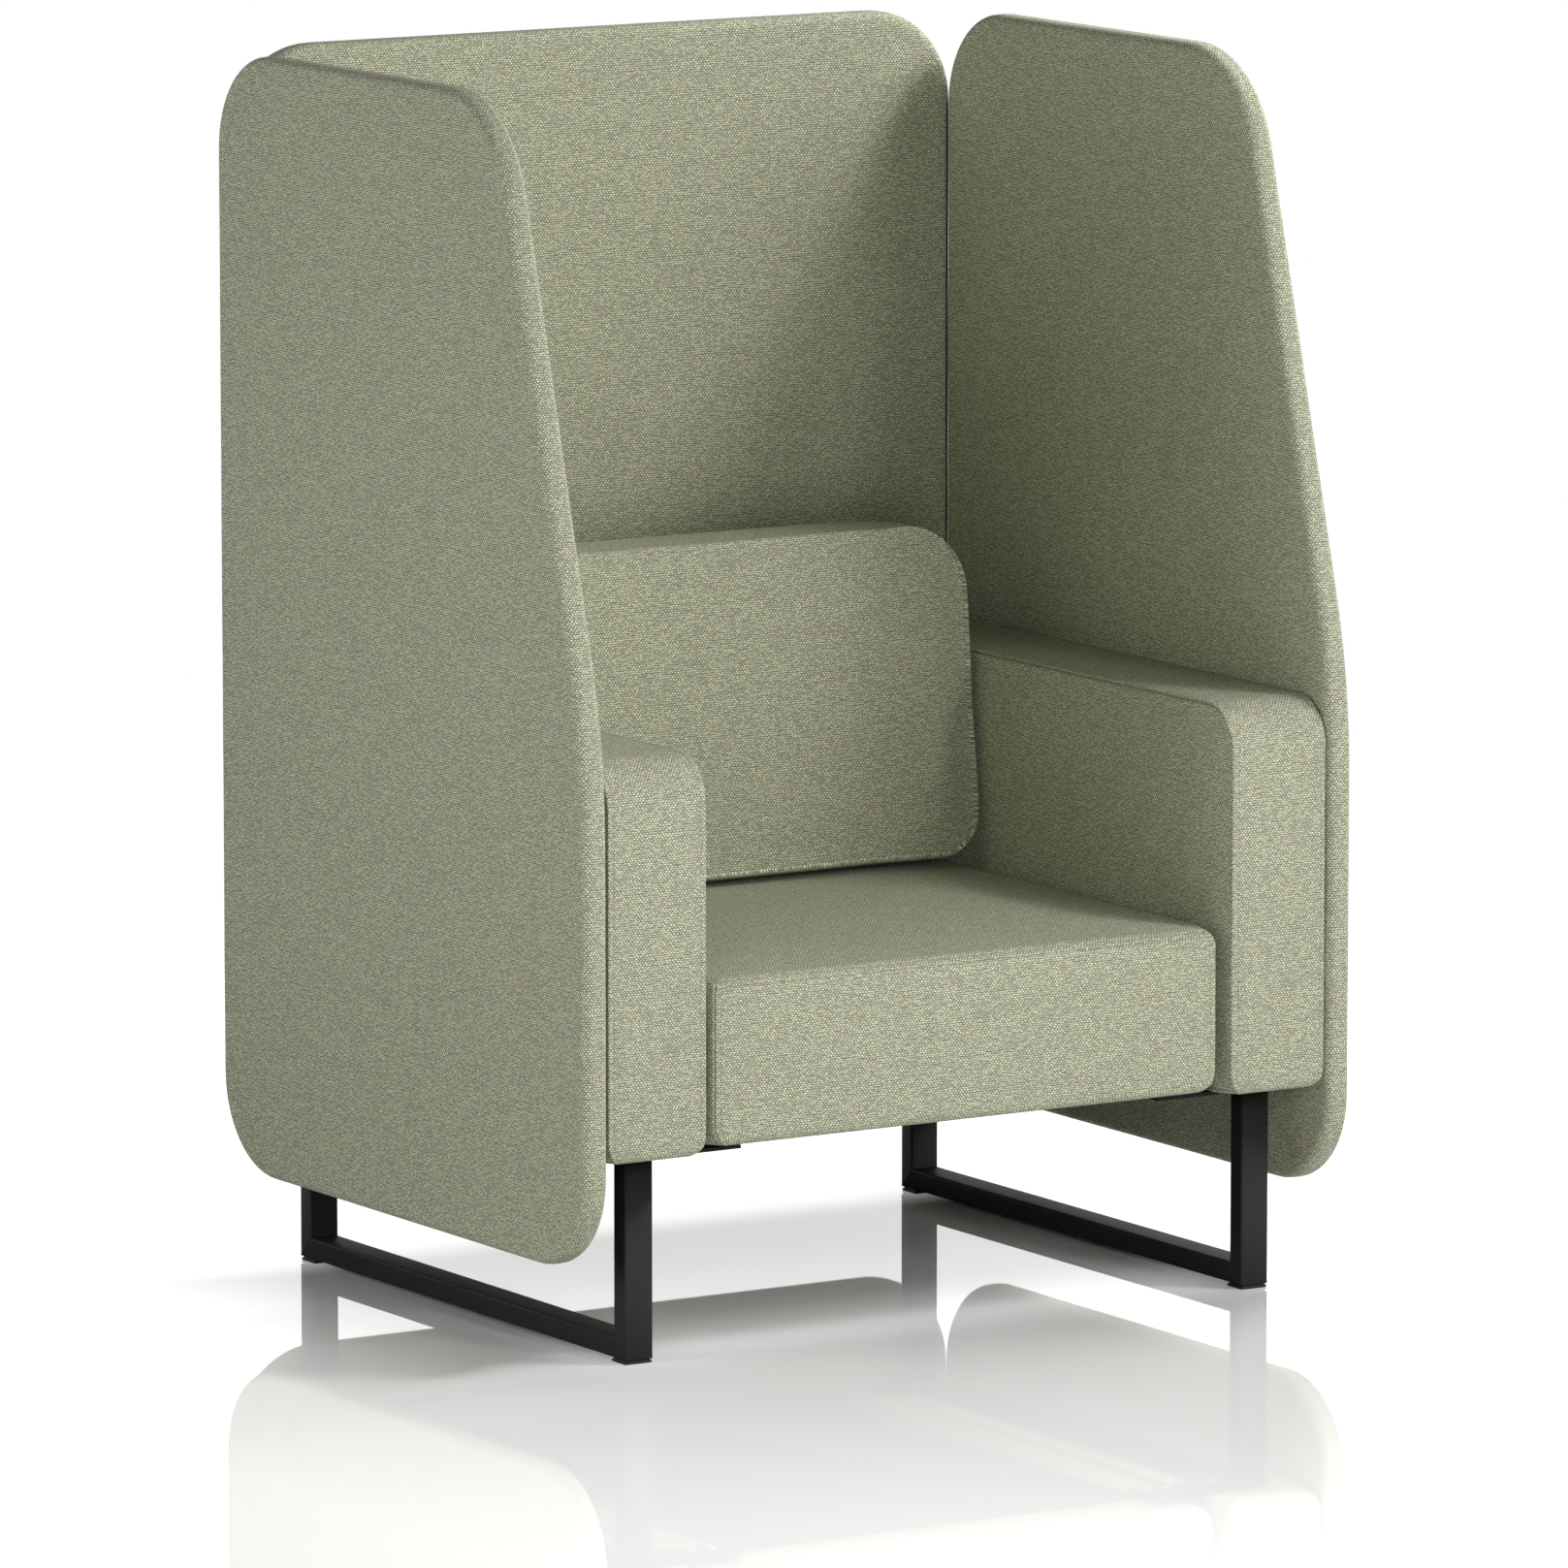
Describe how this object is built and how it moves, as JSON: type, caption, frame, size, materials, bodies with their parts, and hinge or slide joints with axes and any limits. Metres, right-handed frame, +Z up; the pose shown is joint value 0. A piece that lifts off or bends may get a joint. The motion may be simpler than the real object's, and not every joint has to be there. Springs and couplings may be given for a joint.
{
  "type": "acoustic high back lounge chair",
  "caption": "High back lounge chair with three padded acoustic screens, box arms, fixed cushions and two black tubular sled frames.",
  "frame": {"origin": "middle of the chair's footprint, on the floor", "axes": "+Z up, -Y towards the front where the sitter's feet go, +X at the right of someone who looks at the chair from its front"},
  "size_m": [1.044, 0.864, 1.44],
  "materials": {
    "sage_fabric": "flat tweed weave in sage green",
    "black_steel": "satin black powder coat",
    "black_plastic": "matte black",
    "zinc_steel": "zinc plated",
    "plywood": "raw birch plywood"
  },
  "bodies": {
    "root": {"left_front_leg": "black_steel", "left_rear_leg": "black_steel", "left_floor_rail": "black_steel", "left_front_glide": "black_plastic", "left_rear_glide": "black_plastic", "left_front_mounting_plate": "black_steel", "left_rear_mounting_plate": "black_steel", "left_front_plate_bolt_1": "zinc_steel", "left_front_plate_bolt_2": "zinc_steel", "left_front_plate_bolt_3": "zinc_steel", "left_front_plate_bolt_4": "zinc_steel", "left_rear_plate_bolt_1": "zinc_steel", "left_rear_plate_bolt_2": "zinc_steel", "left_rear_plate_bolt_3": "zinc_steel", "left_rear_plate_bolt_4": "zinc_steel", "left_arm_cover": "sage_fabric", "left_arm_frame": "plywood", "left_arm_base_board": "plywood", "left_screen_cover": "sage_fabric", "left_screen_core": "plywood", "left_side_screen_bolt_1": "zinc_steel", "left_side_screen_bolt_2": "zinc_steel", "left_back_screen_bolt_1": "zinc_steel", "left_back_screen_bolt_2": "zinc_steel", "left_corner_zip": "black_plastic", "right_front_leg": "black_steel", "right_rear_leg": "black_steel", "right_floor_rail": "black_steel", "right_front_glide": "black_plastic", "right_rear_glide": "black_plastic", "right_front_mounting_plate": "black_steel", "right_rear_mounting_plate": "black_steel", "right_front_plate_bolt_1": "zinc_steel", "right_front_plate_bolt_2": "zinc_steel", "right_front_plate_bolt_3": "zinc_steel", "right_front_plate_bolt_4": "zinc_steel", "right_rear_plate_bolt_1": "zinc_steel", "right_rear_plate_bolt_2": "zinc_steel", "right_rear_plate_bolt_3": "zinc_steel", "right_rear_plate_bolt_4": "zinc_steel", "right_arm_cover": "sage_fabric", "right_arm_frame": "plywood", "right_arm_base_board": "plywood", "right_screen_cover": "sage_fabric", "right_screen_core": "plywood", "right_side_screen_bolt_1": "zinc_steel", "right_side_screen_bolt_2": "zinc_steel", "right_back_screen_bolt_1": "zinc_steel", "right_back_screen_bolt_2": "zinc_steel", "right_corner_zip": "black_plastic", "back_screen_cover": "sage_fabric", "back_screen_core": "plywood", "seat_deck": "plywood", "seat_cushion": "sage_fabric", "backrest_cover": "sage_fabric", "backrest_frame": "plywood", "backrest_bolt_1": "zinc_steel", "backrest_bolt_2": "zinc_steel", "back_cushion": "sage_fabric"}
  },
  "joints": []
}
